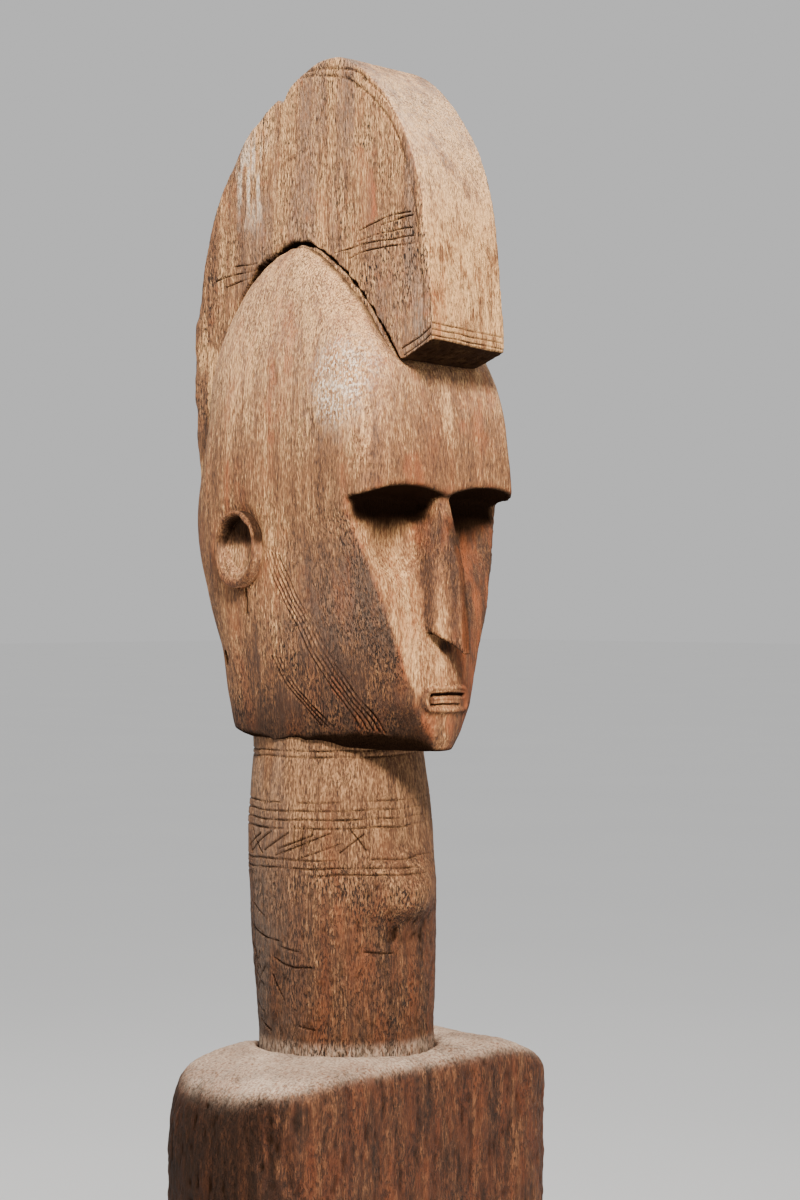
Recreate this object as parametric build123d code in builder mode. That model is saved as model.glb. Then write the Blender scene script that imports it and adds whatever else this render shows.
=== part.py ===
from build123d import *
import os

# A standing ancestor figure in weathered hardwood. It faces -Y, with +X on its left and +Z up, in mm.
# Its origin is the middle of the plinth's underside. The masses meet at the carver's own cuts, each as a
# separate solid let into the next one by a shallow housing or a round tenon.

# Driving heights above the ground
plinth_top = 45
hip_line = 292
armpit = 535
shoulder_top = 645
neck_seat = 630
jaw_line = 820
neck_head = 838
brow_root = 961
crest_root = 1043
skull_top = 1117
crest_top = 1224

# Driving widths and depths
plinth_radius = 118
shoulder_half = 126
chest_front = 77
shoulder_back = 56
leg_across = 43
arm_across = 106
crest_half = 32
neck_base_radius = 52.5
neck_top_radius = 51
ear_half_depth = 17.5
ear_half_height = 22.5
ear_height = 937
ear_behind = 23
ear_seat = 57
ear_thickness = 13
tenon_radius = 14
tenon_length = 20
fit = 0.3


def put(piece, name):
    """Name a finished piece and write it to its own file."""
    piece.label = name
    export_step(piece, f"parts/{name}.step")


def oval_section(height, across, forward, half_width, half_depth):
    """Draw one oval section of a limb or neck, its middle `across` and `forward` of the body's."""
    with BuildSketch(Plane.XY.offset(height)) as section:
        with Locations((across, -forward)):
            Ellipse(half_width, half_depth)
    return section.sketch


def block_section(height, half_width, front, back, corner, across=0):
    """Draw one rounded-rectangle section, reaching `front` forwards and `back` behind the body's middle."""
    with BuildSketch(Plane.XY.offset(height)) as section:
        with Locations((across, (back - front) / 2)):
            RectangleRounded(2 * half_width, front + back, corner)
    return section.sketch


def nape(half_width, back, corner):
    """Draw the left half of a round back, from the end of the side to the middle of the back."""
    inset = corner * (1 - 0.5**0.5)
    Spline(
        (half_width, back - corner),
        (half_width - inset, back - inset),
        (0, back),
        tangents=((0, 1), (-1, 0)),
    )


def face_section(height, face_half, face_edge, face_front, half_width, back, back_corner):
    """Draw one section through the face: a bowed front, flat cheeks back to the ears, a round nape."""
    with BuildSketch(Plane.XY.offset(height)) as section:
        with BuildLine():
            ThreePointArc(
                (0, -face_front),
                (0.55 * face_half, -0.7 * face_front - 0.3 * face_edge),
                (face_half, -face_edge),
            )
            Spline(
                (face_half, -face_edge),
                (0.995 * half_width, -4),
                (half_width, back - back_corner),
                tangents=((1.4 * (half_width - face_half), face_edge), (0, 1)),
            )
            nape(half_width, back, back_corner)
            mirror(about=Plane.YZ)
        make_face()
    return section.sketch


def corner_section(height, half_width, front, front_corner, back, back_corner):
    """Draw one section with a flat front, round front corners, straight sides and a round back."""
    bulge = front_corner * (1 - 0.5**0.5)
    flat = half_width - front_corner
    with BuildSketch(Plane.XY.offset(height)) as section:
        with BuildLine():
            Line((0, -front), (flat, -front))
            ThreePointArc(
                (flat, -front),
                (half_width - bulge, bulge - front),
                (half_width, front_corner - front),
            )
            Line((half_width, front_corner - front), (half_width, back - back_corner))
            nape(half_width, back, back_corner)
            mirror(about=Plane.YZ)
        make_face()
    return section.sketch


# Plinth: a plain round foot with two sockets for the legs' tenons
with BuildPart() as plinth:
    with BuildSketch(Plane.XZ):
        with BuildLine():
            Polyline((0, 0), (plinth_radius - 3, 0), (plinth_radius, 5), (plinth_radius - 2, plinth_top - 6))
            Line((plinth_radius - 2, plinth_top - 6), (plinth_radius - 9, plinth_top))
            Polyline((plinth_radius - 9, plinth_top), (0, plinth_top), (0, 0))
        make_face()
    revolve(axis=Axis.Z)
    with BuildSketch(Plane.XY.offset(plinth_top)):
        with Locations((-leg_across, 0), (leg_across, 0)):
            Circle(tenon_radius + fit)
    extrude(amount=-(tenon_length + fit), mode=Mode.SUBTRACT)
put(plinth.part, "base")


# Legs: full thighs, bent knees and flat feet. Each section is height, forward, half width, half depth.
leg_sections = (
    (hip_line, 0, 34, 46),
    (262, 9, 34, 42),
    (232, 21, 32, 36),
    (200, 26, 29, 32),
    (165, 10, 26, 29),
    (130, -8, 27, 30),
    (95, -14, 23, 26),
    (64, -12, 22, 25),
)


def carve_leg(side):
    """Return one leg with its foot and its two tenons; side is -1 for the figure's right."""
    across = side * leg_across
    sole = block_section(plinth_top, 27, 74, 42, 22, across)
    toes = block_section(58, 26, 70, 40, 20, across)
    instep = block_section(74, 20, 18, 34, 16, across)
    with BuildPart() as leg:
        loft([oval_section(height, across, *sizes) for height, *sizes in leg_sections])
        loft([sole, toes])
        loft([toes, instep])
        with Locations((across, 0, hip_line)):
            Cylinder(tenon_radius, 2 * tenon_length)
        with Locations((across, 0, plinth_top)):
            Cylinder(tenon_radius, 2 * tenon_length)
    return leg.part


for side, name in ((-1, "leg_right"), (1, "leg_left")):
    put(carve_leg(side), name)


# Torso: a wide block of the shoulders, flat in front and round behind, over a waisted trunk.
# Shoulder sections are height, half width, front, front corner, back, back corner.
shoulder_sections = (
    (armpit, shoulder_half, chest_front, 54, shoulder_back, 70),
    (590, shoulder_half, chest_front, 54, shoulder_back, 70),
    (612, 124.5, chest_front, 50, 55, 68),
    (626, 120, chest_front, 41, 54, 66),
    (634, 113, chest_front - 0.5, 32, 53, 62),
    (640, 99, chest_front - 1.5, 22, 50, 56),
    (643.5, 78, 64, 16, 44, 46),
    (shoulder_top, 44, 38, 10, 26, 30),
)
trunk_sections = (
    (armpit + 20, 88, 76, 58, 50),
    (armpit - 15, 82, 73, 52, 46),
    (475, 68, 64, 44, 40),
    (430, 63, 60, 42, 38),
    (390, 67, 60, 48, 40),
    (345, 78, 61, 58, 46),
    (312, 80, 58, 60, 48),
    (hip_line, 76, 54, 56, 46),
)

with BuildPart() as torso:
    loft([corner_section(*row) for row in shoulder_sections], ruled=True)
    loft([block_section(*row) for row in trunk_sections])
    with Locations((0, -57, 432)):
        Sphere(13)
    with BuildSketch(Plane.XY.offset(neck_seat - fit)):
        with Locations((0, -3)):
            Circle(neck_base_radius + fit)
    extrude(amount=40, mode=Mode.SUBTRACT)
    with BuildSketch(Plane.XY.offset(hip_line)):
        with Locations((-leg_across, 0), (leg_across, 0)):
            Circle(tenon_radius + fit)
    extrude(amount=tenon_length + fit, mode=Mode.SUBTRACT)
    with BuildSketch(Plane.XY.offset(armpit)):
        with Locations((-arm_across, -18), (arm_across, -18)):
            Circle(tenon_radius - 4 + fit)
    extrude(amount=tenon_length + fit, mode=Mode.SUBTRACT)
put(torso.part, "torso")


# Arms: hanging from the shoulder block, bent at the elbow, with the hands laid on the hips.
# Each section is height, across, forward, half width, half depth.
arm_sections = (
    (armpit, arm_across, 18, 18.5, 38),
    (510, 106, 13, 18, 34),
    (480, 105, 6, 17.5, 28),
    (450, 104, 3, 17, 24),
    (422, 102, 8, 15.5, 21),
    (390, 97, 18, 14, 18),
    (362, 92, 26, 11.5, 18),
    (330, 88, 32, 9, 21),
)


def carve_arm(side):
    """Return one arm with its tenon, cut back to lie against the trunk; side is -1 for the figure's right."""
    with BuildPart() as arm:
        loft([oval_section(height, side * across, *sizes) for height, across, *sizes in arm_sections])
        with Locations((side * arm_across, -18, armpit)):
            Cylinder(tenon_radius - 4, 2 * tenon_length)
        add(torso.part, mode=Mode.SUBTRACT)
    return arm.part


for side, name in ((-1, "arm_right"), (1, "arm_left")):
    put(carve_arm(side), name)


# Neck: a long barrel that leans a little back, with a round throat boss. Sections: height, forward, radius.
neck_sections = (
    (shoulder_top, 3, neck_base_radius),
    (667, 2, 53),
    (700, 1, 55),
    (740, -1, 56),
    (787, -3, 54.5),
    (jaw_line - 4, -4, neck_top_radius),
)
boss_height = 736
boss_rise = 17
boss_radius = 33

with BuildPart() as neck:
    loft([oval_section(height, 0, forward, radius, radius) for height, forward, radius in neck_sections])
    with BuildSketch(Plane.XY.offset(neck_seat)):
        with Locations((0, -3)):
            Circle(neck_base_radius)
    extrude(amount=shoulder_top - neck_seat)
    with BuildSketch(Plane.XY.offset(jaw_line - 4)):
        with Locations((0, 4)):
            Circle(neck_top_radius)
    extrude(amount=neck_head - jaw_line + 4)
    with BuildSketch(Plane.YZ):
        with BuildLine():
            Spline(
                (-46 - boss_rise, boss_height),
                (-46 - 0.66 * boss_rise, boss_height + 0.55 * boss_radius),
                (-46, boss_height + boss_radius),
                tangents=((0, 1), (1, 0.5)),
            )
            Polyline((-46, boss_height + boss_radius), (-46, boss_height), (-46 - boss_rise, boss_height))
        make_face()
    revolve(axis=Axis((0, 0, boss_height), (0, 1, 0)))
put(neck.part, "neck")


# Crest: a thick blade along the skull, with a split near its crown. Its outline is drawn from the side.
crest_floor = (
    (72, 903),
    (75, 940),
    (72, 985),
    (59, 1032),
    (30, 1059),
    (-5, 1067),
    (-45, 1057),
    (-82, crest_root),
)

with BuildPart() as crest:
    with BuildSketch(Plane.YZ):
        with BuildLine():
            Spline(
                (-106, 1053),
                (-103, 1092),
                (-94, 1147),
                (-69, 1194),
                (-20, crest_top),
                (13, 1212),
                tangents=((0, 1), (1, -0.55)),
            )
            Polyline((13, 1212), (20, 1203), (24, 1206))
            Spline(
                (24, 1206),
                (57, 1183),
                (87, 1129),
                (101, 1040),
                (94, 957),
                (82, 905),
                tangents=((1, -0.45), (-0.25, -1)),
            )
            Polyline((82, 905), (78, 899), crest_floor[0])
            Spline(*crest_floor, tangents=((0, 1), (-1, -0.25)))
            Line(crest_floor[-1], (-106, 1053))
        make_face()
    extrude(amount=crest_half, both=True)
put(crest.part, "crest")


# Upper head: the forehead up to the crest's root, then the skull.
# Each section is height, half width, front, temple radius, back, nape radius.
forehead_sections = (
    (brow_root - 3, 62.5, 88.5, 14, 93.5, 50),
    (985, 62.5, 87.5, 16, 86.5, 48),
    (1012, 62, 85, 19, 80.5, 46),
    (crest_root - 4, 60.5, 81, 23, 78, 44),
)
skull_sections = (
    forehead_sections[-1],
    (1061, 56.5, 67.5, 26, 71, 42),
    (1083, 50.5, 51.5, 28, 61, 38),
    (1103, 43, 31, 22, 46, 32),
    (skull_top, 33, 12, 12, 26, 20),
)
# The brow's underside rises forwards and arches over each eye: forward, then its height at the nose,
# the eye and the temple
brow_arches = ((67.4, brow_root, 966, 963.5), (100, 970, 976, 967))

with BuildPart() as skull:
    loft([corner_section(*row) for row in forehead_sections], ruled=True)
    loft([corner_section(*row) for row in skull_sections])
    for side in (-1, 1):
        for forward, at_nose, at_eye, at_temple in brow_arches:
            with BuildSketch(Plane.XZ.offset(forward)):
                with BuildLine():
                    ThreePointArc((0, at_nose), (side * 34, at_eye), (side * 66, at_temple))
                    Polyline((side * 66, at_temple), (side * 66, 930), (0, 930), (0, at_nose))
                make_face()
        loft(mode=Mode.SUBTRACT)


# Lower head. Each section is height, half width and edge of the face, its front, half width, back,
# nape radius.
face_sections = (
    (jaw_line, 7, 83.5, 85.5, 53, 59, 38),
    (830, 15, 83, 89, 54, 61, 38),
    (848, 25, 82, 91, 55.5, 64, 38),
    (878, 34, 80, 85.5, 58.5, 67, 40),
    (901, 43, 78.5, 80.5, 60.5, 77, 42),
    (930, 53, 73, 75, 62, 87, 46),
    (brow_root - 3, 62, 67, 67.5, 62.5, 93.5, 50),
)
# Nose sections: height, reach and half width of the ridge, the same of its shoulder, half width at the cheek
nose_sections = (
    (966, 84, 4, 73, 6.5, 9),
    (945, 92, 4, 79, 9, 11.5),
    (925, 98, 4.5, 85, 11, 13.5),
    (902, 101, 5.5, 89, 13, 15.5),
)
nose_root = 60
nose_foot = Plane(origin=(0, -88, 887), x_dir=(1, 0, 0), z_dir=(0, -0.8, 1))
mouth_height = 850
mouth_floor = 85
mouth_width = 29
lip_width = 23

with BuildPart() as head:
    loft([face_section(*row) for row in face_sections], ruled=True)
    # Hollows of the eyes under the brow
    with Locations((-31, -111, 946), (31, -111, 946)):
        Sphere(44, mode=Mode.SUBTRACT)
    # Nape undercut, rising outwards from the neck
    with BuildSketch(Plane.XZ):
        with BuildLine():
            Polyline((0, 800), (100, 800), (100, 848), (51, 825), (0, 825), (0, 800))
        make_face()
    revolve(axis=Axis((0, 4, 0), (0, 0, 1)), revolution_arc=180, mode=Mode.SUBTRACT)
    # Bevelled lower edges of the jaw, deeper towards the chin
    for side in (-1, 1):
        bevel = Plane(origin=(side * 55, -5, 824), z_dir=(side * 0.62, -0.345, -0.7))
        split(bisect_by=bevel, keep=Keep.BOTTOM)
    add(skull.part)
    for height, ridge, ridge_half, shoulder, shoulder_half_width, cheek_half in nose_sections:
        with BuildSketch(Plane.XY.offset(height)):
            with BuildLine():
                Polyline((0, -ridge), (ridge_half, -ridge), (shoulder_half_width, -shoulder))
                Polyline((shoulder_half_width, -shoulder), (cheek_half, -nose_root), (0, -nose_root))
                mirror(about=Plane.YZ)
            make_face()
    with BuildSketch(nose_foot):
        with BuildLine():
            Polyline((0, -18), (6, -18), (14, -4), (16.5, 34), (0, 34))
            mirror(about=Plane.YZ)
        make_face()
    loft(ruled=True)
    # Mouth: a shallow slot with one lip standing in it
    with BuildSketch(Plane.XZ.offset(mouth_floor)):
        with Locations((0, mouth_height)):
            SlotOverall(mouth_width, 8.5)
    extrude(amount=12, mode=Mode.SUBTRACT)
    with BuildSketch(Plane.XZ.offset(mouth_floor)):
        with Locations((0, mouth_height)):
            SlotOverall(lip_width, 3)
    extrude(amount=5)
    # Housings for the crest, the neck and the ears
    with BuildSketch(Plane.YZ):
        with BuildLine():
            Spline(*crest_floor, tangents=((0, 1), (-1, -0.25)))
            Polyline(crest_floor[-1], (-140, crest_root), (-140, 1300), (140, 1300), (140, 899))
            Polyline((140, 899), (78, 899), crest_floor[0])
        make_face()
    extrude(amount=crest_half + fit, both=True, mode=Mode.SUBTRACT)
    with BuildSketch(Plane.XY.offset(neck_head)):
        with Locations((0, 4)):
            Circle(neck_top_radius + fit)
    extrude(amount=-40, mode=Mode.SUBTRACT)
    for side in (-1, 1):
        with BuildSketch(Plane.YZ.offset(side * ear_seat)):
            with Locations((ear_behind, ear_height)):
                Ellipse(ear_half_depth + fit, ear_half_height + fit)
        extrude(amount=side * 20, mode=Mode.SUBTRACT)
put(head.part, "head")


def carve_ear(side):
    """Return one ear, an oval ring whose hollow runs in and up; side is -1 for the figure's right."""
    with BuildPart() as ear:
        with BuildSketch(Plane.YZ.offset(side * ear_seat)):
            with Locations((ear_behind, ear_height)):
                Ellipse(ear_half_depth, ear_half_height)
        extrude(amount=side * ear_thickness)
        rim = ear.faces().sort_by(Axis.X)[-1 if side > 0 else 0]
        fillet(rim.edges(), 2.5)
        with BuildSketch(Plane.YZ.offset(side * (ear_seat + ear_thickness))):
            with Locations((ear_behind, ear_height - 3)):
                Ellipse(ear_half_depth - 5.5, ear_half_height - 7)
        extrude(amount=11.5, dir=(-side, 0, 0.7), mode=Mode.SUBTRACT)
    return ear.part


for side, name in ((-1, "ear_right"), (1, "ear_left")):
    put(carve_ear(side), name)
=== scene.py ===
import itertools
import math

import bmesh
import bpy
import numpy as np
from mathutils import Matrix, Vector


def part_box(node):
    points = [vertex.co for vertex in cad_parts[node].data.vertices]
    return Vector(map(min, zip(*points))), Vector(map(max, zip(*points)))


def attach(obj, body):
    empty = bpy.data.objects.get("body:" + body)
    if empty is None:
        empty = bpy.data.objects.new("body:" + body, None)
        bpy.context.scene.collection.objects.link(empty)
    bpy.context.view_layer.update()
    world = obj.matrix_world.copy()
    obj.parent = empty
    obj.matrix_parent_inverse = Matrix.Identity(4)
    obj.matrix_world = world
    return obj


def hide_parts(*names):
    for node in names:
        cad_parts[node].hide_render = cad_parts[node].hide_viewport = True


# The looks of a standing ancestor figure in weathered wood. It faces -Y, with +X on its left.
# Each carved piece is an even mesh made from its CAD node, worked on in mm as arrays: worn, cut and grained.

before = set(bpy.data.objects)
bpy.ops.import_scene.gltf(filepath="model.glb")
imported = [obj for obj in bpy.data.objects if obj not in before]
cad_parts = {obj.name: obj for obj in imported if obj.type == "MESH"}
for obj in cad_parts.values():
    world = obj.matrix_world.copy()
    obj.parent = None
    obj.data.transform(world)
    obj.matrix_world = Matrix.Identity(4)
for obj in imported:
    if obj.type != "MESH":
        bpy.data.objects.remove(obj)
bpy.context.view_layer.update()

# Heights over the ground in mm: the crest's lower front corner is its tip
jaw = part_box("head")[0].z * 1000
mouth = jaw + 30
brow = jaw + 141
tip = jaw + 220
neck_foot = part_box("neck")[0].z * 1000
throat_boss = neck_foot + 106
boss_foot = neck_foot + 82
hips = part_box("torso")[0].z * 1000
armpit = hips + 243
shoulder = armpit + 110

# Half the crest's thickness, and the corners of the left ear's box, in mm
crest_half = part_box("crest")[1].x * 1000
ear_low, ear_high = (np.array(corner) * 1000 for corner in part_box("ear_left"))


# ---------------------------------------------------------------- camera, light and floor


def make_camera():
    """A level camera a little below the ears, between the figure's front and its right side."""
    away = 1.44
    aside = 0.034
    above_jaw = 0.087
    look = Vector((1, 1, 0)).normalized()
    right = Vector((1, -1, 0)).normalized()
    data = bpy.data.cameras.new("camera")
    data.lens = 72
    data.sensor_width = 36
    camera = bpy.data.objects.new("camera", data)
    bpy.context.scene.collection.objects.link(camera)
    camera.location = aside * right - away * look
    camera.location.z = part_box("head")[0].z + above_jaw
    camera.rotation_euler = look.to_track_quat("-Z", "Y").to_euler()
    bpy.context.scene.camera = camera


def softbox(name, azimuth, elevation, reach, size, power, colour):
    """A square area light aimed at the head; azimuth 0 is in front of the figure and 90 on its left."""
    data = bpy.data.lights.new(name, "AREA")
    data.size = size
    data.energy = power
    data.color = colour
    light = bpy.data.objects.new(name, data)
    bpy.context.scene.collection.objects.link(light)
    turn, lift = math.radians(azimuth), math.radians(elevation)
    away = Vector((math.sin(turn) * math.cos(lift), -math.cos(turn) * math.cos(lift), math.sin(lift)))
    aim = Vector((0, 0, 0.9))
    light.location = aim + reach * away
    light.rotation_euler = (-away).to_track_quat("-Z", "Y").to_euler()


def make_lights():
    """A high key light from the front right, softer fills beside and behind, and a wide light from above."""
    softbox("key", -36, 40, 2.0, 0.4, 100, (1, 0.93, 0.84))
    softbox("fill_right", -115, 35, 2.4, 1.2, 16, (1, 0.98, 0.95))
    softbox("fill_back", 165, 40, 3.0, 1.6, 30, (1, 0.98, 0.95))
    data = bpy.data.lights.new("ceiling", "SUN")
    data.energy = 2.3
    data.angle = 1.2
    bpy.context.scene.collection.objects.link(bpy.data.objects.new("ceiling", data))


def make_sky():
    """A pale sky, brighter to the camera than the light it gives."""
    world = bpy.data.worlds.new("sky")
    world.use_nodes = True
    tree = world.node_tree
    sky = tree.nodes["Background"]
    sky.inputs["Color"].default_value = (0.9, 0.9, 0.9, 1)
    sight = tree.nodes.new("ShaderNodeLightPath")
    strength = tree.nodes.new("ShaderNodeMapRange")
    strength.inputs["To Min"].default_value = 0.16
    strength.inputs["To Max"].default_value = 0.675
    tree.links.new(sight.outputs["Is Camera Ray"], strength.inputs["Value"])
    tree.links.new(strength.outputs["Result"], sky.inputs["Strength"])
    bpy.context.scene.world = world


def make_floor():
    """A wide pale floor, level with the plinth's underside."""
    bpy.ops.mesh.primitive_plane_add(size=80)
    floor = bpy.context.object
    floor.name = "floor"
    paint = Nodes("floor")
    haze = paint.noise(paint.millimetres(), (900, 900, 900), 2)
    paint.finish(paint.mix(haze, (0.66, 0.66, 0.66), (0.7, 0.7, 0.695)), 0.9)
    floor.data.materials.append(paint.material)


# ---------------------------------------------------------------- materials


class Nodes:
    """A material being wired: each call adds one node and returns its output."""

    def __init__(self, name):
        self.material = bpy.data.materials.new(name)
        self.material.use_nodes = True
        self.tree = self.material.node_tree
        self.shader = self.tree.nodes["Principled BSDF"]

    def add(self, kind, values, output=0, **settings):
        """Add a node with its settings, and link or set each input; its name or number is the key."""
        node = self.tree.nodes.new("ShaderNode" + kind)
        for key, value in settings.items():
            setattr(node, key, value)
        for key, value in values.items():
            if isinstance(value, bpy.types.NodeSocket):
                self.tree.links.new(value, node.inputs[key])
            else:
                node.inputs[key].default_value = value
        return node.outputs[output]

    def millimetres(self):
        """The place on the figure in mm; the pieces' own axes are the frame's."""
        place = self.add("TexCoord", {}, "Object")
        return self.add("VectorMath", {0: place, 1: (1000, 1000, 1000)}, operation="MULTIPLY")

    def noise(self, place, size, detail, shift=0.0):
        """Smooth noise from 0 to 1, with features of the given size in mm along X, Y and Z."""
        scaled = self.add("VectorMath", {0: place, 1: [1 / s for s in size]}, operation="MULTIPLY")
        moved = self.add("VectorMath", {0: scaled, 1: (shift, shift, shift)}, operation="ADD")
        return self.add("TexNoise", {"Vector": moved, "Scale": 1.0, "Detail": detail, "Roughness": 0.6})

    def ramp(self, value, low, high):
        """0 below low, 1 above high and smooth between them."""
        values = {"Value": value, "From Min": low, "From Max": high}
        return self.add("MapRange", values, interpolation_type="SMOOTHSTEP")

    def math(self, operation, first, second):
        """One step of arithmetic on two values."""
        return self.add("Math", {0: first, 1: second}, operation=operation)

    def mix(self, share, first, second):
        """Blend two colours; a share of 0 gives the first."""
        pair = [(*c, 1) if isinstance(c, tuple) else c for c in (first, second)]
        values = {"Factor": share, 6: pair[0], 7: pair[1]}
        return self.add("Mix", values, 2, data_type="RGBA")

    def attribute(self, name):
        """A value painted on the mesh's vertices."""
        return self.add("Attribute", {}, "Fac", attribute_name=name)

    def finish(self, colour, roughness, height=None, rise=0.0005):
        """Join colour, roughness and an optional bump height to the shader."""
        for socket, value in (("Base Color", colour), ("Roughness", roughness)):
            if isinstance(value, bpy.types.NodeSocket):
                self.tree.links.new(value, self.shader.inputs[socket])
            else:
                self.shader.inputs[socket].default_value = value
        if height is not None:
            bump = self.add("Bump", {"Height": height, "Strength": 1.0, "Distance": rise})
            self.tree.links.new(bump, self.shader.inputs["Normal"])


def wood(name, dark, middle, light, red, rise):
    """Old open-grained wood. Painted values shift it: tone, red, grey, pores, painted shade with the cuts,
    and shine.
    """
    dust = (0.66, 0.51, 0.38)
    shade_and_soot = (0.018, 0.009, 0.005)
    glint = (0.85, 0.68, 0.52)
    paint = Nodes(name)
    place = paint.millimetres()

    # Long fibres, short dashes of open pores and broad streaks; each layer's shift keeps it off the others
    fibre = paint.noise(place, (1.2, 1.2, 13), 3)
    fine = paint.noise(place, (0.8, 0.8, 4), 2, 3.1)
    dash = paint.noise(place, (0.85, 0.85, 3.4), 2, 7.7)
    streak = paint.noise(place, (5, 5, 85), 4, 11.3)
    blotch = paint.noise(place, (20, 20, 30), 4, 19.9)
    open_grain = paint.math("MULTIPLY", paint.ramp(blotch, 0.25, 0.7), paint.attribute("pores"))
    open_grain = paint.math("MULTIPLY", open_grain, 1.5)
    pores = paint.math("MULTIPLY", paint.ramp(dash, 0.5, 0.62), open_grain)

    # How bright the wood is sets its colour between dark, middle and light
    bright = paint.math("SUBTRACT", paint.math("MULTIPLY", fibre, 1.3), 2.5)
    for layer, share in ((fine, 2.2), (streak, 1.4), (blotch, 1.0)):
        bright = paint.math("ADD", bright, paint.math("MULTIPLY", layer, share))
    bright = paint.math("ADD", bright, paint.math("MULTIPLY", paint.attribute("tone"), 0.6))
    colour = paint.mix(paint.ramp(bright, -0.3, 0.62), dark, middle)
    colour = paint.mix(paint.ramp(bright, 0.4, 1.3), colour, light)

    # Rust, dust, soot in the pores, painted shade in cuts, gaps, hollows and undersides, and painted glints
    # where hands have polished it lie over that
    rust = paint.noise(place, (9, 9, 40), 3, 29.0)
    rust = paint.math("MULTIPLY", paint.ramp(rust, 0.35, 0.7), paint.attribute("red"))
    colour = paint.mix(rust, colour, red)
    chalk = paint.noise(place, (1.6, 1.6, 5), 3, 37.0)
    chalk = paint.math("MULTIPLY", paint.ramp(chalk, 0.22, 0.65), paint.attribute("grey"))
    colour = paint.mix(chalk, colour, dust)
    colour = paint.mix(paint.math("MULTIPLY", pores, 0.8), colour, shade_and_soot)
    # Painted shade: cuts, gaps, hollows and undersides go towards soot black
    colour = paint.mix(paint.attribute("cut"), colour, shade_and_soot)
    # Painted highlight: pale glinting flecks where the shine is painted
    fleck = paint.ramp(paint.noise(place, (1.5, 1.5, 2.4), 2, 43.0), 0.5, 0.6)
    fleck = paint.math("MULTIPLY", fleck, paint.ramp(paint.attribute("shine"), 0.35, 1.0))
    colour = paint.mix(fleck, colour, glint)

    gloss = paint.math("MULTIPLY", paint.math("SUBTRACT", 1.0, paint.attribute("cut")), 0.4)
    paint.tree.links.new(gloss, paint.shader.inputs["Specular IOR Level"])
    dull = paint.math("ADD", paint.math("MULTIPLY", pores, 0.12), 0.74)
    rough = paint.math("SUBTRACT", dull, paint.math("MULTIPLY", paint.attribute("shine"), 0.12))
    rough = paint.math("SUBTRACT", rough, paint.math("MULTIPLY", fleck, 0.2))
    height = paint.math("SUBTRACT", paint.math("MULTIPLY", fibre, 0.6), paint.math("MULTIPLY", pores, 0.7))
    height = paint.math("ADD", height, paint.math("MULTIPLY", fine, 0.7))
    paint.finish(colour, rough, height, rise)
    return paint.material


def make_woods():
    """One finish for each material slot: its dark, middle, light and red, then the grain's rise in m."""
    return {
        "weathered_wood": wood(
            "weathered_wood",
            (0.055, 0.019, 0.007), (0.255, 0.105, 0.037), (0.8, 0.45, 0.19), (0.34, 0.085, 0.02), 0.0013),
        # The neck and body woods are darker: partly their own colour, partly painted shade where the light
        # falls off downwards
        "neck_wood": wood(
            "neck_wood",
            (0.035, 0.013, 0.005), (0.135, 0.055, 0.021), (0.43, 0.22, 0.095), (0.2, 0.052, 0.013), 0.0013),
        "body_wood": wood(
            "body_wood",
            (0.02, 0.007, 0.002), (0.078, 0.026, 0.0085), (0.23, 0.095, 0.037), (0.13, 0.03, 0.007), 0.0014),
        "plinth_wood": wood(
            "plinth_wood",
            (0.02, 0.008, 0.003), (0.06, 0.026, 0.011), (0.16, 0.08, 0.038), (0.09, 0.025, 0.008), 0.0008),
    }


# ---------------------------------------------------------------- carving


def noise(points, size, seed):
    """Smooth repeatable noise from -1 to 1, with features of the given size in mm."""
    cells = points / np.asarray(size, float) + 37.71 * seed
    low = np.floor(cells)
    part = cells - low
    part = part * part * (3 - 2 * part)
    low = low.astype(np.int64)
    total = np.zeros(len(points))
    for corner in itertools.product((0, 1), repeat=3):
        # A hash of the corner's whole numbers gives it a repeatable value from -1 to 1
        spot = low + corner
        key = (spot[:, 0] * 73856093) ^ (spot[:, 1] * 19349663) ^ (spot[:, 2] * 83492791)
        key = (key ^ (key >> 13)) & 0xFFFFFFFF
        key = (key * 0x5BD1E995) & 0xFFFFFFFF
        value = ((key ^ (key >> 15)) & 0xFFFF) / 32767.5 - 1
        total += value * np.prod(np.where(corner, part, 1 - part), axis=1)
    return total


def ramp(values, low, high):
    """0 at low, 1 at high and smooth between them; high may be the smaller."""
    share = np.clip((values - low) / (high - low), 0, 1)
    return share * share * (3 - 2 * share)


def bell(values, middle, reach):
    """1 at the middle, falling smoothly to 0 at the reach on either side."""
    return ramp(np.abs(values - middle), reach, 0)


def smooth_line(corners):
    """Points on a smooth line through the corners."""
    corners = np.array(corners, float)
    ends = np.vstack((2 * corners[0] - corners[1], corners, 2 * corners[-1] - corners[-2]))
    share = np.linspace(0, 1, 5, endpoint=False)[:, None]
    parts = []
    for a, b, c, d in zip(ends, ends[1:], ends[2:], ends[3:]):
        bend = (2 * a - 5 * b + 4 * c - d) * share**2 + (3 * b - a - 3 * c + d) * share**3
        parts.append(0.5 * (2 * b + (c - a) * share + bend))
    return np.vstack((*parts, corners[-1:]))


def distance(flat, corners):
    """How far each flat point lies from the smooth line through the corners, up to 9 mm."""
    line = smooth_line(corners)
    found = np.full(len(flat), 9.0)
    near = np.all((flat > line.min(0) - 9) & (flat < line.max(0) + 9), axis=1)
    spots = flat[near]
    best = found[near]
    for start, end in zip(line, line[1:]):
        along = end - start
        share = np.clip((spots - start) @ along / (along @ along), 0, 1)
        best = np.minimum(best, np.linalg.norm(spots - start - share[:, None] * along, axis=1))
    found[near] = best
    return found


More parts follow.
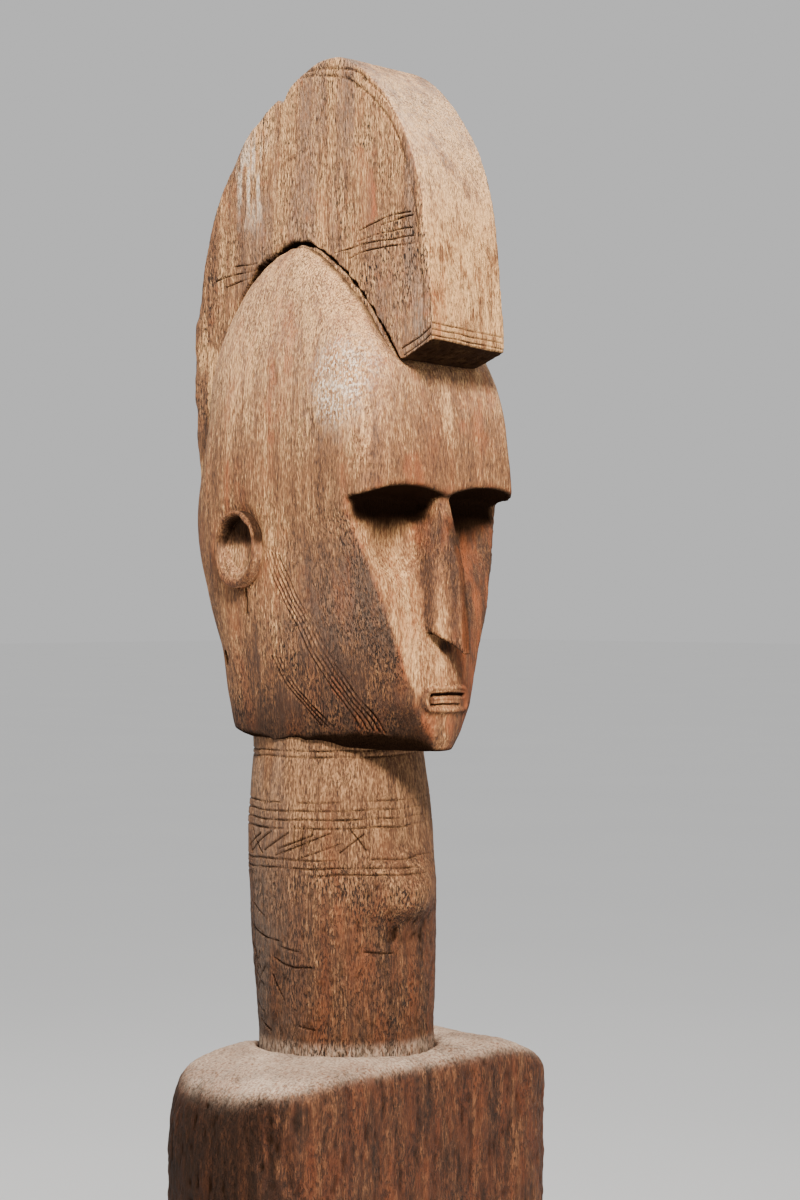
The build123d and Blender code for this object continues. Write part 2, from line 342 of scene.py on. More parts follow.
class Carving:
    """A piece that stands for one CAD node: its mesh as arrays in mm, and the painted values on it."""

    def __init__(self, node, voxel):
        copy = bpy.data.objects.new("copy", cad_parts[node].data.copy())
        bpy.context.scene.collection.objects.link(copy)
        even = copy.modifiers.new("even", "REMESH")
        even.mode = "VOXEL"
        even.voxel_size = voxel / 1000
        found = copy.evaluated_get(bpy.context.evaluated_depsgraph_get())
        self.mesh = bpy.data.meshes.new_from_object(found)
        self.mesh.materials.clear()
        bpy.data.objects.remove(copy)
        self.node = node
        self.voxel = voxel
        self.painted = {}
        self.read()

    def read(self):
        """Take the points, edges and normals from the mesh."""
        count = len(self.mesh.vertices)
        self.points = np.empty((count, 3))
        self.mesh.vertices.foreach_get("co", self.points.ravel())
        self.points *= 1000
        self.edges = np.empty((len(self.mesh.edges), 2), np.int64)
        self.mesh.edges.foreach_get("vertices", self.edges.ravel())
        self.degree = np.bincount(self.edges.ravel(), minlength=count)[:, None]
        self.find_normals()

    def find_normals(self):
        """Write the points back, and take the normals they give."""
        self.mesh.vertices.foreach_set("co", (self.points / 1000).ravel())
        self.mesh.update()
        self.normals = np.empty((len(self.points), 3))
        self.mesh.vertex_normals.foreach_get("vector", self.normals.ravel())

    def around(self, values):
        """The mean of each vertex's neighbours, for values in columns."""
        first, second = self.edges.T
        sums = [
            np.bincount(first, column[second], len(values)) + np.bincount(second, column[first], len(values))
            for column in values.T
        ]
        return np.stack(sums, axis=1) / self.degree

    def spread(self, values, rounds):
        """Blur one value over the surface."""
        values = values[:, None]
        for _ in range(rounds):
            values = 0.5 * values + 0.5 * self.around(values)
        return values[:, 0]

    def smooth(self, share, rounds):
        """Wear the surface smooth where share is 1."""
        share = share[:, None]
        for _ in range(rounds):
            self.points += 0.6 * share * (self.around(self.points) - self.points)
        self.find_normals()

    def push(self, height):
        """Raise the surface by so many mm along its normals."""
        self.points += height[:, None] * self.normals

    def edge_shape(self):
        """1 on a sharp ridge, -1 in a sharp hollow and 0 on the flat."""
        bend = ((self.points - self.around(self.points)) * self.normals).sum(1)
        return np.clip(self.spread(bend, 2) / (0.14 * self.voxel), -1, 1)

    def level(self, middle, reach, rounds=60):
        """Wear the surface flat inside a ball."""
        self.smooth(ramp(np.linalg.norm(self.points - middle, axis=1), reach, 0.6 * reach), rounds)

    def refine(self, chosen):
        """Split the mesh's edges in two where the surface needs finer detail."""
        self.find_normals()
        work = bmesh.new()
        work.from_mesh(self.mesh)
        split = [e for e in work.edges if chosen[e.verts[0].index] and chosen[e.verts[1].index]]
        bmesh.ops.subdivide_edges(work, edges=split, cuts=1, use_grid_fill=True)
        work.to_mesh(self.mesh)
        work.free()
        self.read()

    def erode(self, wave, grain, chips, seed):
        """Hand-cut unevenness, raised grain along the fibres, and worn, chipped edges."""
        ridge = self.spread(np.clip(self.edge_shape(), 0, 1), 2)
        wander = noise(self.points, 34, seed) + 0.5 * noise(self.points, 15, seed + 1)
        fibres = noise(self.points, (2.6, 2.6, 34), seed + 2)
        fibres += 0.6 * noise(self.points, (1.6, 1.6, 16), seed + 3)
        bite = np.clip(noise(self.points, 9, seed + 4) + 0.3 * noise(self.points, 4, seed + 5), 0, 1)
        self.push(wave * wander + grain * fibres - chips * ridge * bite)
        self.find_normals()
        return ridge

    def groove(self, gap, width, depth, share=1.0):
        """Cut a groove where gap, the distance from its line, is under its half width; return its dark, the
        painted shade laid into it.
        """
        cut = np.clip(1 - gap / width, 0, 1) * share
        burr = bell(gap, 1.5 * width, 0.6 * width) * share
        uneven = 0.8 + 0.4 * noise(self.points, 7, 5)
        self.push(uneven * (0.16 * depth * burr - depth * cut))
        return ramp(cut * uneven, 0.1, 0.8)

    def underside(self):
        """1 where the surface looks down, where light and rubbing hands never reach; it is painted in as
        shade.
        """
        return self.spread(ramp(-self.normals[:, 2], 0.25, 0.8), 2)

    def paint(self, **values):
        """Keep values for the material, each added to what is there."""
        for name, value in values.items():
            self.painted[name] = self.painted.get(name, 0) + value

    def finish(self, material, slot):
        """Write the mesh and its painted values, and put the piece in its CAD node's place."""
        self.find_normals()
        for name in ("tone", "red", "grey", "pores", "cut", "shine"):
            value = self.painted.get(name, 0) + np.zeros(len(self.points))
            layer = self.mesh.attributes.new(name, "FLOAT", "POINT")
            low = -1 if name == "tone" else 0
            layer.data.foreach_set("value", np.clip(value, low, 1).astype(np.float32))
        self.mesh.polygons.foreach_set("use_smooth", np.ones(len(self.mesh.polygons), bool))
        self.mesh.materials.append(material)
        piece = bpy.data.objects.new("carved_" + self.node, self.mesh)
        bpy.context.scene.collection.objects.link(piece)
        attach(piece, "root")
        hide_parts(self.node)


# ---------------------------------------------------------------- crest

# The arch where the crest meets the skull, seen from the side: Y and Z
arch = (
    (82, 960), (78, 1000), (72, 1039), (64, 1061), (53, 1083), (37, 1103), (12, 1116), (-6, 1116),
    (-28, 1103), (-50, 1083), (-67, 1061), (-81, 1040))
crest_cuts = (
    ((-88, 1126), (-67, 1125), (-47, 1120)),
    ((-90, 1124), (-65, 1121.5)),
    ((-90, 1117), (-70, 1117), (-45, 1114)),
    ((-91, 1112.5), (-51, 1112), (-26, 1109)),
    ((-91, 1108.5), (-53, 1108), (-38, 1105)),
    ((42, 1110), (64, 1109.5)),
    ((43, 1106), (80, 1103)),
    ((47, 1102), (70, 1098)),
)
crest_border = (
    (0, 1219), (-20, 1218), (-42, 1213), (-55, 1205), (-68, 1194), (-80, 1180), (-89, 1162), (-96, 1142),
    (-101, 1117), (-103.5, 1088), (-104, 1064))
inner_border = (
    (4, 1216), (-12, 1215), (-32, 1211), (-48, 1203), (-62, 1192), (-73, 1179), (-81, 1164), (-88.5, 1143),
    (-94, 1118), (-98, 1081), (-99, 1060))
rim_cuts = (
    ((-81, 1050), (-92, 1054), (-104, 1060)),
    ((-83, 1046), (-94, 1050.5), (-104, 1056)),
)
# The heights of the three lines that go on from them across the front, and how far back the far side leans
front_cuts = (tip + 15.2, tip + 18.6, tip + 22)
far_lean = 3.5


def refine_crest(crest):
    """Make the mesh finer along the arch and along every line that is cut."""
    for reach in (3.2, 1.6):
        flat = crest.points[:, 1:]
        lines = (*crest_cuts, *rim_cuts, arch)
        if reach > 2:
            lines += (crest_border, inner_border)
        near = np.min([distance(flat, line) for line in lines], axis=0) < reach
        side = np.abs(crest.points[:, 0]) > crest_half - 1.5
        front = (crest.points[:, 1] < -98) & (np.abs(crest.points[:, 2] - (tip + 18)) < 5 + reach)
        crest.refine((near & side) | front)


def wear_crest(crest, back):
    """Wear the edges, break the back, open a ragged gap along the arch with painted shade in it, and lean the
    far side.
    """
    x, y, z = crest.points.T
    ridge = crest.erode(0.45, 0.12, 0.9, 11)
    bite = np.clip(noise(crest.points, (14, 9, 16), 17) + 0.3, 0, 1)
    crest.push(-2.4 * back * ridge * bite)
    gap = distance(crest.points[:, 1:] - (4.5, 1.5) * ramp(y, 10, 50)[:, None], arch)
    gap += 0.8 * noise(crest.points, (5, 4, 4), 19)
    wide = 1.1 + 2.8 * bell(y, 30, 42) * ramp(noise(crest.points, (30, 9, 9), 20), -0.8, 0.2)
    hem = ramp(gap, wide, 0.35 * wide) * (np.abs(x) > crest_half - 1.5) * ramp(y, -84, -74)
    crest.points[:, 0] -= (2.5 + 2 * ramp(y, -30, 0)) * hem * np.sign(x)
    crest.find_normals()

    # The far side lies a little further back and lower than the near one
    left = ramp(x, -crest_half, crest_half)
    crest.points[:, 1] += far_lean * left * ramp(y, 0, -90)
    crest.points[:, 2] -= 3 * left * ramp(z, tip + 60, tip + 3) * ramp(y, -60, -100)
    # The gap along the arch is painted dark as shade
    crest.paint(tone=0.2 * ridge, cut=0.95 * hem)


def cut_crest(crest):
    """Cut the knife lines and borders on both sides and the lines across the front.

    Returns the wavering side view, Y and Z, in which the lines are drawn.
    """
    x, y, z = crest.points.T
    left = ramp(x, -crest_half, crest_half)
    waver = np.stack((noise(crest.points, 11, 21), noise(crest.points, 11, 22)), axis=1)
    flat = crest.points[:, 1:] + 0.6 * waver
    flat[:, 0] -= far_lean * left * ramp(y, 0, -90)
    side = ramp(np.abs(crest.normals[:, 0]), 0.5, 0.9)
    facing = ramp(-crest.normals[:, 1], 0.5, 0.8)
    broken = ramp(noise(crest.points, (9, 6, 9), 23), -0.75, -0.2)
    dark = np.zeros(len(x))
    for line in crest_cuts:
        dark = np.maximum(dark, 0.8 * crest.groove(distance(flat, line), 0.75, 0.85, side * broken))
    for line, depth in ((crest_border, 1.0), (inner_border, 0.8)):
        dark = np.maximum(dark, 0.35 * crest.groove(distance(flat, line), 1.25, depth, side))
    for line in rim_cuts:
        dark = np.maximum(dark, 0.8 * crest.groove(distance(flat, line), 0.8, 0.9, side))
    for height in front_cuts:
        level = np.abs(z + 0.05 * (x + crest_half) + 0.5 * waver[:, 0] - height)
        dark = np.maximum(dark, 0.7 * crest.groove(level, 0.75, 0.8, facing))
    # The dark in the grooves is painted shade
    crest.paint(cut=dark)
    return flat


def paint_crest(crest, flat, back):
    """Dusty front with a rusty foot, a tan leaf-shaped patch, silvery streaks that are partly a painted
    highlight, pale flaking behind, and painted shade in hollows and underneath.
    """
    y, z = crest.points[:, 1:].T
    side = ramp(np.abs(crest.normals[:, 0]), 0.5, 0.9)
    facing = ramp(-crest.normals[:, 1], 0.5, 0.8)
    patch = distance(flat, ((-47, 1161), (-50, 1150), (-53, 1138), (-53, 1129)))
    leaf = ramp(patch + 1.5 * noise(crest.points, 5, 33), 9, 6.5) * side
    hollow = np.clip(-crest.edge_shape(), 0, 1)
    behind = ramp(y, 40, 70) * ramp(z, tip + 70, tip)
    pale = ramp(noise(crest.points, (5, 5, 24), 41) + 0.4 * noise(crest.points, 6, 42), 0.1, 0.5) * behind
    # Silvery weathered streaks high on the back of the side, painted paler and glinting: partly a painted
    # highlight
    silvering_and_highlight = ramp(noise(crest.points, (2.2, 2.2, 30), 43), -0.05, 0.25)
    mottle = (noise(crest.points, (4, 4, 8), 47) + noise(crest.points, 13, 48)) * (1 - side)
    silvering_and_highlight = silvering_and_highlight * bell(y, 46, 24) * bell(z, tip + 123, 42) * side
    streaks = noise(crest.points, (8, 8, 80), 45)
    lower = ramp(z, tip + 95, tip + 35) * side * ramp(y, -35, -70)
    rusty = facing * ramp(z, tip + 85, tip + 22) * ramp(crest.points[:, 0] + 8 * streaks, 8, -28)
    crest.paint(
        tone=0.9 * facing + 0.55 * streaks * side - 0.3 * lower + 0.9 * pale + silvering_and_highlight
        + 0.35 * side - 0.35 * side * bell(y, -88, 16) * ramp(z, tip + 35, tip + 80)
        - 0.3 * behind * (1 - pale) + 0.1 * leaf + 0.7 * mottle - 0.2 * back * side * (1 - silvering_and_highlight),
        red=0.9 * leaf + 0.25 * side * ramp(streaks, 0.2, 0.7) + 0.75 * rusty,
        grey=1.4 * silvering_and_highlight + 0.15 * side * ramp(-streaks, 0.0, 0.6) * (1 - back)
        + 0.35 * facing * ramp(z, tip + 60, tip + 140) + 0.3 * ramp(crest.normals[:, 2], 0.3, 0.9)
        + 0.05 * side + 0.12 * lower,
        pores=0.45 * side + 0.5 * lower - 0.3 * leaf + 0.4,
        # Painted shade in hollows and underneath
        cut=0.55 * hollow + 0.95 * crest.underside(),
        shine=0.9 * silvering_and_highlight + 0.2,
    )


def carve_crest(woods):
    """The blade of the crest: cut lines on its sides, a grooved rim, fine fibres in front, a worn back."""
    crest = Carving("crest", 1.5)
    crest.smooth(np.ones(len(crest.points)), 2)
    refine_crest(crest)
    back = ramp(crest.points[:, 1], 30, 75)
    wear_crest(crest, back)
    flat = cut_crest(crest)
    paint_crest(crest, flat, back)
    crest.finish(woods["weathered_wood"], "weathered_wood")


# ---------------------------------------------------------------- head

# Two bundles of knife lines run from the ear down to the jaw, seen from the side: Y and Z
ear_bundle = ((-4, 934), (-15, 911), (-27, 891), (-39, 866), (-54, 842), (-58, 832))
jaw_bundle = ((-3, 874), (-13, 858), (-28, 842), (-34, 834))
# A drilled hole by the nape, on the right side only
nape_hole = (-52, 44, 873)


def round_head(head):
    """Wear the creases and corners round, and narrow the nose to its ridge."""
    x, y, z = head.points.T
    side = ramp(np.abs(head.normals[:, 0]), 0.45, 0.75)
    shell = ramp(np.abs(x), 34, 40)
    head.smooth(np.ones(len(x)), 3)
    under_brow = bell(z, brow - 3, 16) * ramp(y, -50, -38)
    under_crest = bell(z, tip - 1, 18) * ramp(y, -95, -80)
    head.smooth(np.clip(np.maximum(under_brow, under_crest) * shell, 0, 1), 90)
    head.smooth(side * ramp(y, -58, -46) * shell, 24)
    head.smooth(ramp(z, jaw + 26, jaw + 8) * ramp(np.abs(x), 12, 24) * ramp(y, 8, -10), 20)
    for middle, reach in (((0, -90, mouth), 24), ((-55, -5, jaw + 3), 16), ((55, -5, jaw + 3), 16)):
        head.level(middle, reach, 80)
    head.points[:, 0] *= 1 - 0.5 * ramp(-y, 86, 97) * (z < brow)


def refine_head(head):
    """Make the mesh finer round the mouth, along the cheeks' lines and at the drilled hole."""
    for reach in (8, 6):
        lips = np.abs(head.points - (0, -88, mouth)).max(1) < reach + 10
        lips = lips & (np.abs(head.points[:, 2] - mouth) < reach)
        bundles = [distance(head.points[:, 1:], line) for line in (ear_bundle, jaw_bundle)]
        near = (np.min(bundles, axis=0) < reach) & (np.abs(head.points[:, 0]) > 20)
        hole = np.linalg.norm(head.points - nape_hole, axis=1) < reach
        head.refine(lips | near | hole)


def open_rim(head):
    """The rim of the skull beside the crest: broken, and painted dark with shade in its gap."""
    x, y = head.points[:, :2].T
    gap = distance(head.points[:, 1:], arch) + 0.9 * noise(head.points, (5, 5, 4), 57)
    behind = ramp(y, 15, 45)
    trench = ramp(gap, 3.5 + 3 * behind, 0.5) * ramp(np.abs(x), 42, 33) * (np.abs(x) > 30) * ramp(y, -80, -66)
    inward = (0, -5, tip - 60) - head.points * (0, 1, 1)
    inward /= np.linalg.norm(inward, axis=1)[:, None]
    head.points += ((1.7 + 2.6 * behind) * trench)[:, None] * inward
    head.find_normals()
    # Painted shade in the gap beside the crest
    head.paint(cut=0.9 * trench)


def carve_mouth(head):
    """The mouth: a raised frame round two slots, with the lip standing between them. Returns its dark, the
    painted shade in the slots.
    """
    flat = head.points[:, [0, 2]] + 0.25 * noise(head.points, 5, 75)[:, None]
    front = (head.points[:, 1] < -76).astype(float)
    frame_gap = np.hypot(np.clip(np.abs(flat[:, 0]) - 11.5, 0, None), flat[:, 1] - mouth)
    head.push(1.3 * front * bell(frame_gap, 6.4, 2.6))
    upper = distance(flat, ((-13, mouth + 2.2), (0, mouth + 2.6), (13, mouth + 2.0)))
    lower = distance(flat, ((-13, mouth - 3.4), (0, mouth - 3.0), (8, mouth - 3.4)))
    end = distance(flat, ((-13.5, mouth + 2.2), (-14, mouth), (-13.5, mouth - 3.2)))
    dark = 0.6 * head.groove(upper, 1.3, 2.2, front)
    dark = np.maximum(dark, 0.2 * head.groove(lower, 1.0, 1.2, front))
    return np.maximum(dark, 0.35 * head.groove(end, 1.2, 1.6, front))


def cut_head(head, side):
    """Cut the cheeks' bundles of lines, the hole, a check under each ear, a chip on the temple, the mouth."""
    waver = np.stack((noise(head.points, 13, 61), noise(head.points, 13, 62)), axis=1)
    flat = head.points[:, 1:] + 0.8 * waver
    faint = 0.75 + 0.25 * noise(head.points, (9, 9, 14), 63)
    dark = np.zeros(len(side))
    burr = np.zeros(len(side))
    for line, rows in ((ear_bundle, (-2, -1, 0, 1, 2)), (jaw_bundle, (-1, 0, 1))):
        for row in rows:
            gap = distance(flat, [(a - 3.1 * row, b - 0.5 * row) for a, b in line])
            dark = np.maximum(dark, 0.5 * head.groove(gap, 0.8, 0.9, side * faint))
            burr = np.maximum(burr, bell(gap, 1.4, 0.6) * side)

    hole = np.linalg.norm((head.points - nape_hole) / (4, 4, 6), axis=1)
    head.push(-8 * ramp(hole, 1, 0.6))
    check = distance(flat, ((20, 913), (19, 906), (19.5, 899)))
    dark = np.maximum(dark, head.groove(check, 1.5, 2.0, side))
    chip = distance(flat, ((-5, tip + 3), (-7, tip - 7))) + noise(head.points, 3, 66)
    chip = ramp(chip, 2.4, 1.2) * side * (head.points[:, 0] < 0)
    head.push(-0.8 * chip)
    dark = np.maximum(dark, carve_mouth(head))
    head.find_normals()
    # The dark in the grooves and the drilled hole is painted shade
    head.paint(tone=0.5 * burr, red=1.8 * chip, cut=dark + ramp(hole, 1.05, 0.8))


def paint_head(head, side, front):
    """Dark cheeks and jaw, a pale dome, a flecked temple that is partly a painted highlight, and painted
    light and shade on the face: the brow's shadow in the eye hollows, a lighter near side, a shaded far side.
    """
    x, y, z = head.points.T
    hollow = np.clip(-head.edge_shape(), 0, 1)
    streaks = noise(head.points, (7, 7, 60), 71)
    patches = ramp(noise(head.points, (20, 20, 32), 78) + 0.4 * noise(head.points, 7, 79), 0.1, 0.6)
    low = ramp(z, brow - 2, brow - 12)
    slope = -y + 0.75 * (brow - z) + 12 * noise(head.points, 26, 73)
    off_nose = np.maximum(ramp(np.abs(x), 16, 26), ramp(z, jaw + 66, jaw + 56))
    flat_side = ramp(np.abs(head.normals[:, 0]), 0.42, 0.6) * off_nose
    cheek = head.spread(flat_side * ramp(slope, 15, 105) * ramp(z, brow + 30, brow - 40), 1)
    edge = low * bell(np.abs(head.normals[:, 0]), 0.55, 0.2) * ramp(np.abs(x), 12, 20)
    face = head.spread(low * front, 2)
    nose = low * (1 - front) * ramp(np.abs(x), 24, 16) * ramp(y, -60, -70) * ramp(z, jaw + 46, jaw + 52)
    # Painted shadow of the brow in the eye hollows, reaching lowest halfway along each eye
    lid = bell(np.abs(x), 32, 30)
    eye = ramp(z, brow + 6, brow + 2) * ramp(z, brow - 10 - 20 * lid, brow - 6) * ramp(np.abs(x), 62, 54)
    eye *= ramp(y, -84, -74) * ramp(y, -40, -55)
    blade = low * front * ramp(np.abs(x), 6, 4) * ramp(y, -82, -86) * ramp(z, jaw + 54, jaw + 60)
    # Painted shade on the far side of the face, darker and redder; the near side of the face is painted
    # lighter
    far = face * ramp(x, 2, 14)
    chin = front * ramp(z, jaw + 34, jaw + 8)
    dome = ramp(z, brow + 10, tip + 20)
    # The temple is paler, flecked and glinting: partly weathering, partly a painted highlight
    temple = bell(y, -58, 34) * bell(z, tip - 12, 44) * ramp(np.abs(x), 30, 44)
    bottom = ramp(z, jaw + 34, jaw + 6) * side
    head.paint(
        tone=0.07 + 0.4 * streaks - 0.95 * cheek + 0.35 * face * ramp(x, 20, -10) - 1.0 * far - 1.3 * blade
        - 0.75 * nose - 0.6 * chin + 0.5 * dome + 0.4 * temple - 1.0 * bottom - 0.3 * edge
        - 0.2 * front * (1 - low) - 0.3 * ramp(y, 10, 60) * ramp(z, tip, brow - 1),
        red=0.35 * ramp(streaks, -0.1, 0.5) + 0.45 * patches * (1 - cheek) + 0.6 * far + 0.7 * blade
        + 0.2 * face + 0.6 * edge + 0.6 * chin + 0.4 * bell(z, brow + 7, 9) * front
        + 0.25 * front * bell(z, tip - 40, 60) * bell(x, -12, 20),
        grey=0.4 * temple * ramp(noise(head.points, (3.2, 3.2, 4), 77), -0.2, 0.4) + 0.12 * dome
        + 0.03 + 0.09 * cheek * ramp(z, jaw + 40, jaw + 80),
        pores=0.5 + 0.55 * cheek + 0.3 * bottom - 0.25 * face - 0.3 * front * (1 - low),
        # Painted shade in hollows, underneath, on the far face and in the eye hollows
        cut=0.5 * hollow + 1.1 * head.underside() + 0.1 * far + 0.6 * blade + 0.3 * bottom
        + 0.2 * cheek * ramp(z, jaw + 90, jaw + 20) + eye,
        shine=temple + 0.25 * dome,
    )


def carve_head(woods):
    """The head: worn brow and jaw, a rim along the crest painted dark with shade, knife lines on the cheeks.
    """
    head = Carving("head", 1.5)
    round_head(head)
    refine_head(head)
    ridge = head.erode(0.5, 0.14, 0.9, 51)
    head.paint(tone=0.15 * ridge)
    side = ramp(np.abs(head.normals[:, 0]), 0.45, 0.75)
    front = ramp(-head.normals[:, 1], 0.55, 0.85)
    open_rim(head)
    cut_head(head, side)
    paint_head(head, side, front)
    head.finish(woods["weathered_wood"], "weathered_wood")


def carve_ear(woods, node, seed):
    """One ear: a rough oval ring round a hollow, deep at its top and dished at its foot."""
    ear = Carving(node, 0.9)
    outer = ear_high[0]
    middle = (ear_low + ear_high) / 2
    half = (ear_high - ear_low) / 2
    x, y, z = ear.points.T
    across = np.hypot((y - middle[1]) / (half[1] - 1.2), (z - middle[2]) / (half[2] - 1.6))
    across += 0.05 * noise(ear.points, 6, seed + 5)
    depth = 5 + 5 * ramp(z, middle[2] - 2, middle[2] + 9) - 1.5 * ramp(z, middle[2] - 8, middle[2] - 20)
    floor = outer - depth * ramp(across, 0.95, 0.84)
    ear.points[:, 0] = np.sign(x) * (np.minimum(np.abs(x), floor) - 1.5 * ramp(np.abs(x), outer - 8, outer))
    ear.smooth(np.ones(len(x)), 4)
    ear.erode(0.6, 0.15, 1.2, seed)
    x, y, z = ear.points.T
    hollow = np.clip(-ear.edge_shape(), 0, 1)
    inside = ramp(np.abs(x), outer - 2, outer - 5)
    deep = inside * ramp(z, middle[2], middle[2] + 6)
    # Painted light and shade: the deep top of the hollow is painted dark, its shallow foot lighter, and
    # hollows dark
    ear.paint(
        tone=-0.35 + 0.6 * inside * (1 - deep) - 0.3 * ramp(z, middle[2] + 4, middle[2] - 14) * (1 - inside),
        red=0.25 + 0.5 * ramp(z, middle[2] - 14, middle[2] - 22),
        grey=0.1 * inside,
        pores=0.5,
        cut=0.4 * hollow + 0.85 * deep + 0.3 * ramp(noise(ear.points, 5, seed + 9), 0.2, 0.7) * (1 - inside),
        shine=0.1,
    )
    ear.finish(woods["weathered_wood"], "weathered_wood")


# ---------------------------------------------------------------- neck

# Knife lines on the neck: the way round it in mm from the front towards the right, and Z
neck_rings = (820, 816.5, 790.5, 785.5, 780.2, 775.2, 757, 752, 748)
neck_hatch = (
    ((60, 774), (63, 765)), ((66, 776), (68, 763)), ((72, 776), (73, 766)), ((50, 772), (86, 758)),
    ((44, 766), (70, 757)), ((76, 772), (96, 760)), ((90, 772), (112, 759)), ((100, 770), (118, 762)),
    ((112, 772), (98, 758)), ((124, 771), (110, 758)), ((84, 762), (60, 771)), ((30, 771), (44, 761)),
    ((38, 774), (28, 762)),
)
neck_scars = (
    ((116, 714), (98, 710), (84, 709)), ((88, 699), (72, 694), (60, 694)), ((82, 706), (66, 702)),
    ((118, 704), (104, 690)), ((112, 696), (124, 684)), ((104, 700), (116, 680)), ((98, 692), (112, 676)),
    ((120, 690), (100, 680)), ((90, 688), (80, 674)), ((108, 659), (94, 655)), ((70, 660), (60, 658)),
    ((112, 668), (100, 664)), ((30, 704), (12, 702)), ((96, 722), (110, 728)),
)


def round_neck(points):
    """The way round the neck in mm from its front towards the figure's right, and the height."""
    turn = np.arctan2(-points[:, 0], -points[:, 1])
    return np.stack((55 * turn, points[:, 2]), axis=1)


def shape_neck(neck):
    """Round the throat boss into the neck, refine where it is cut, then swell it and undercut its foot.

    Returns the way round, the swelling and the undercut.
    """
    x, y, z = neck.points.T
    boss = np.hypot(x, z - throat_boss)
    neck.smooth(np.ones(len(x)), 5)
    neck.smooth(ramp(boss, 52, 36) * ramp(y, -20, -35), 60)
    neck.smooth(bell(z, boss_foot, 26) * ramp(np.abs(x), 44, 30) * ramp(y, -20, -35), 220)
    round_way = round_neck(neck.points)
    cuts = [np.abs(round_way[:, 1] - ring) for ring in neck_rings]
    cuts += [distance(round_way, line) for line in (*neck_hatch, *neck_scars)]
    neck.refine(np.min(cuts, axis=0) < 2.4)

    way, z = round_neck(neck.points).T
    drop = np.where(z < throat_boss - 4, (throat_boss - 4 - z) / 15, (z - throat_boss + 4) / 34)
    swell = ramp(np.hypot(way / 30, drop), 1, 0.1)
    neck.push(2.6 * swell)
    z = neck.points[:, 2]
    sag = z - 0.008 * way**2 + 2 * noise(neck.points, 12, 85)
    undercut = bell(sag, boss_foot, 15) * ramp(np.abs(way), 36, 8)
    neck.push(-1.6 * undercut)
    neck.find_normals()
    return way, swell, undercut


def cut_neck(neck, way):
    """Cut the rings, which fade out on the left, and the hatching and scars on the right."""
    waver = np.stack((noise(neck.points, 16, 91), noise(neck.points, 16, 92)), axis=1)
    flat = round_neck(neck.points) + 0.9 * waver
    dark = np.zeros(len(way))
    fade = ramp(noise(neck.points, (22, 22, 6), 95), -0.75, -0.3)
    for ring in neck_rings:
        level = np.abs(flat[:, 1] + 0.012 * way - ring)
        share = fade * (0.25 + 0.75 * ramp(way, -30, 15))
        dark = np.maximum(dark, 0.55 * neck.groove(level, 0.9, 0.95, share))
    for line in (*neck_hatch, *neck_scars):
        dark = np.maximum(dark, 0.75 * neck.groove(distance(flat, line), 0.85, 0.95))
    # The dark in the rings, hatching and scars is painted shade
    neck.paint(cut=dark)


def carve_neck(woods):
    """The neck: rings, hatching and scars cut with a knife, and a pitted throat boss undercut below."""
    neck = Carving("neck", 1.3)
    way, swell, undercut = shape_neck(neck)
    z = neck.points[:, 2]
    pitted = ramp(z, throat_boss + 34, throat_boss - 1)
    neck.erode(0.7, 0.16, 0.8, 81)
    lumps = noise(neck.points, (3.6, 3.6, 5), 87) + 0.7 * noise(neck.points, 2.4, 88)
    ripples = noise(neck.points, (16, 16, 5), 89) * bell(z, neck_foot + 60, 40) * ramp(way, -40, 10)
    neck.push(0.22 * pitted * lumps + 0.5 * ripples)
    neck.find_normals()
    cut_neck(neck, way)

    hollow = np.clip(-neck.edge_shape(), 0, 1)
    streaks = noise(neck.points, (9, 9, 45), 97)
    dusty = ramp(z, shoulder + 7, shoulder + 1)
    # Painted light and shade: darker towards the foot where the light falls off, the boss painted lighter and
    # glinting as
    # a highlight, and painted shade under the boss, in hollows and underneath
    neck.paint(
        tone=-0.35 + 0.95 * ramp(z, neck_foot + 60, neck_foot + 170) + 0.15 * streaks + 0.45 * swell
        - 0.35 * ramp(way, 60, 130) + 0.3 * dusty,
        red=0.45 * ramp(z, throat_boss + 44, throat_boss - 16) * ramp(way, 100, 30)
        + 0.25 * ramp(streaks, 0, 0.6),
        grey=0.12 * ramp(way, 50, 110) * ramp(streaks, 0.3, -0.3) + 0.5 * dusty,
        pores=0.55 + 0.3 * pitted,
        cut=0.45 * hollow + 0.45 * undercut * ramp(-lumps, -0.9, 0.7)
        + 0.4 * pitted * ramp(-lumps, 0.3, 1.1) + 0.4 * neck.underside(),
        shine=0.25 * swell,
    )
    neck.finish(woods["neck_wood"], "neck_wood")


# ---------------------------------------------------------------- body


def near_joint(height, reach):
    """1 at the heights where the limbs meet the torso, falling to 0 at the reach above and below."""
    return np.maximum(bell(height, armpit, reach), bell(height, hips, reach))


def slope_shoulders(torso):
    """Let the left shoulder sink a little, wear the shoulders round and refine them."""
    x, z = torso.points[:, 0], torso.points[:, 2]
    torso.points[:, 2] -= 8 * ramp(x, 62, 112) * ramp(z, shoulder - 45, shoulder - 5)
    torso.smooth(ramp(z, shoulder - 60, shoulder - 45), 20)
    torso.refine(torso.points[:, 2] > armpit + 5)


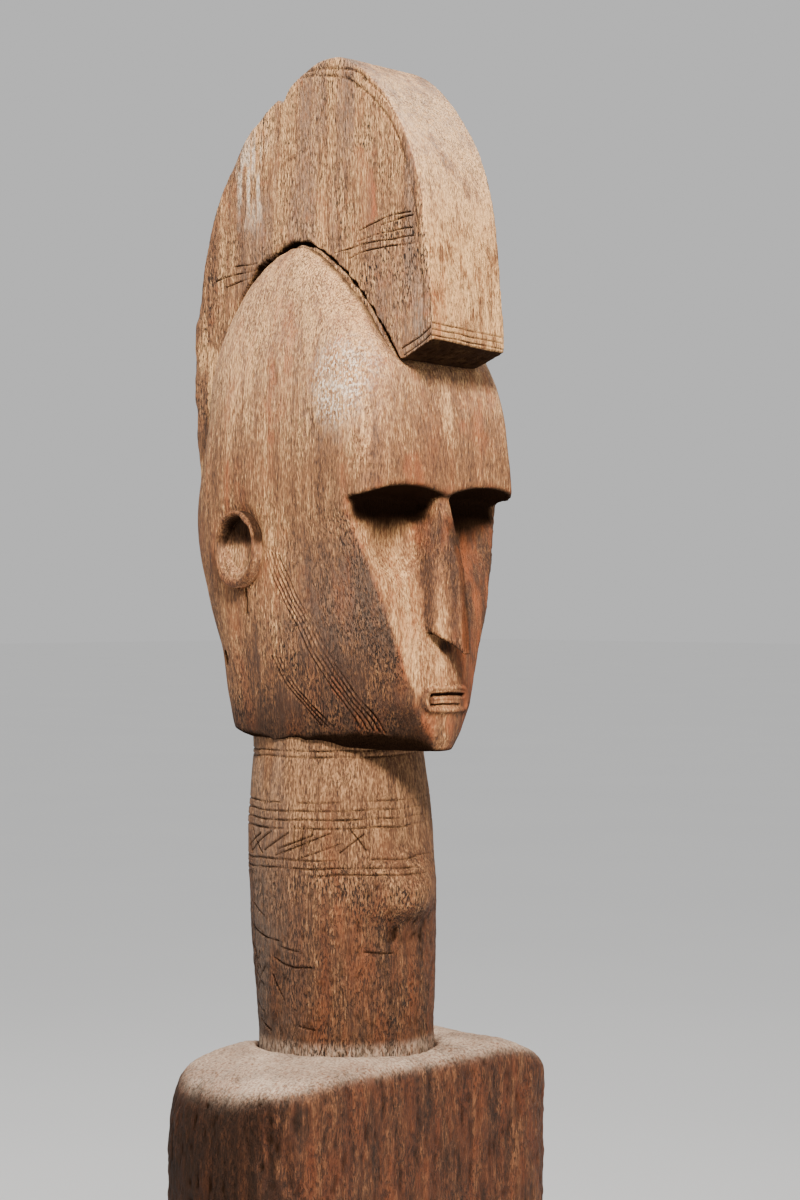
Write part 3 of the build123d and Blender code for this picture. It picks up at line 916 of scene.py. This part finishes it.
def carve_body(woods, node, voxel, seed):
    """A piece of the body: eroded fibres that stand proud, dust where it faces up, painted shade on its
    sides, in hollows and underneath.
    """
    body = Carving(node, voxel)
    body.smooth(1 - near_joint(body.points[:, 2], 5), 6)
    if node == "torso":
        slope_shoulders(body)
    z = body.points[:, 2]
    upward = body.spread(ramp(body.normals[:, 2], 0.3, 0.95), 30) * (1 - near_joint(z, 12))
    upward *= 0.8 + 0.3 * noise(body.points, 16, seed + 9)
    ridge = body.erode(0.8, 0.22, 1.2, seed)
    fuzz = noise(body.points, (3.4, 3.4, 13), seed + 6) + 0.8 * noise(body.points, (2, 2, 5), seed + 7)
    body.push((0.5 * (1 - upward) + 0.08) * fuzz)
    body.find_normals()
    hollow = np.clip(-body.edge_shape(), 0, 1)
    streaks = noise(body.points, (8, 8, 50), seed + 8)
    # Painted shade on the sides, which face away from the light
    flank_shade = body.spread(ramp(np.abs(body.normals[:, 0]), 0.5, 0.9), 6)
    body.paint(
        tone=0.35 * streaks + 0.9 * upward + 0.15 * ridge + (0.7 * fuzz - 0.9 * flank_shade) * (1 - upward),
        red=0.45 + 0.4 * ramp(streaks, -0.2, 0.6) - 0.8 * upward - 0.3 * flank_shade,
        grey=0.85 * upward,
        pores=0.6 - 0.45 * upward,
        cut=0.35 * hollow + 0.4 * (1 - upward) * ramp(-fuzz, 0.4, 1.2) + 0.3 * body.underside()
        + 0.6 * flank_shade * (1 - upward) * ramp(z, armpit - 40, armpit + 40),
        shine=0.1,
    )
    body.finish(woods["body_wood"], "body_wood")


def carve_base(woods):
    """The plinth: a worn round foot, dusty on top."""
    base = Carving("base", 2.4)
    base.smooth(np.ones(len(base.points)), 5)
    ridge = base.erode(0.5, 0.2, 1.6, 201)
    upward = ramp(base.normals[:, 2], 0.4, 0.9)
    worn = noise(base.points, 28, 205) + 0.6 * noise(base.points, (4, 30, 30), 206)
    hollow = np.clip(-base.edge_shape(), 0, 1)
    # Painted shade in the hollows
    base.paint(
        tone=0.2 * upward + 0.3 * ridge + 0.35 * worn,
        red=0.3 + 0.2 * worn,
        grey=upward * (0.4 + 0.3 * worn),
        pores=0.7,
        cut=0.4 * hollow,
        shine=0.1,
    )
    base.finish(woods["plinth_wood"], "plinth_wood")


make_camera()
make_lights()
make_sky()
make_floor()
finishes = make_woods()
carve_crest(finishes)
carve_head(finishes)
carve_ear(finishes, "ear_left", 101)
carve_ear(finishes, "ear_right", 121)
carve_neck(finishes)
carve_body(finishes, "torso", 2.0, 131)
for number, limb in enumerate(("arm_left", "arm_right", "leg_left", "leg_right")):
    carve_body(finishes, limb, 1.8, 141 + 10 * number)
carve_base(finishes)
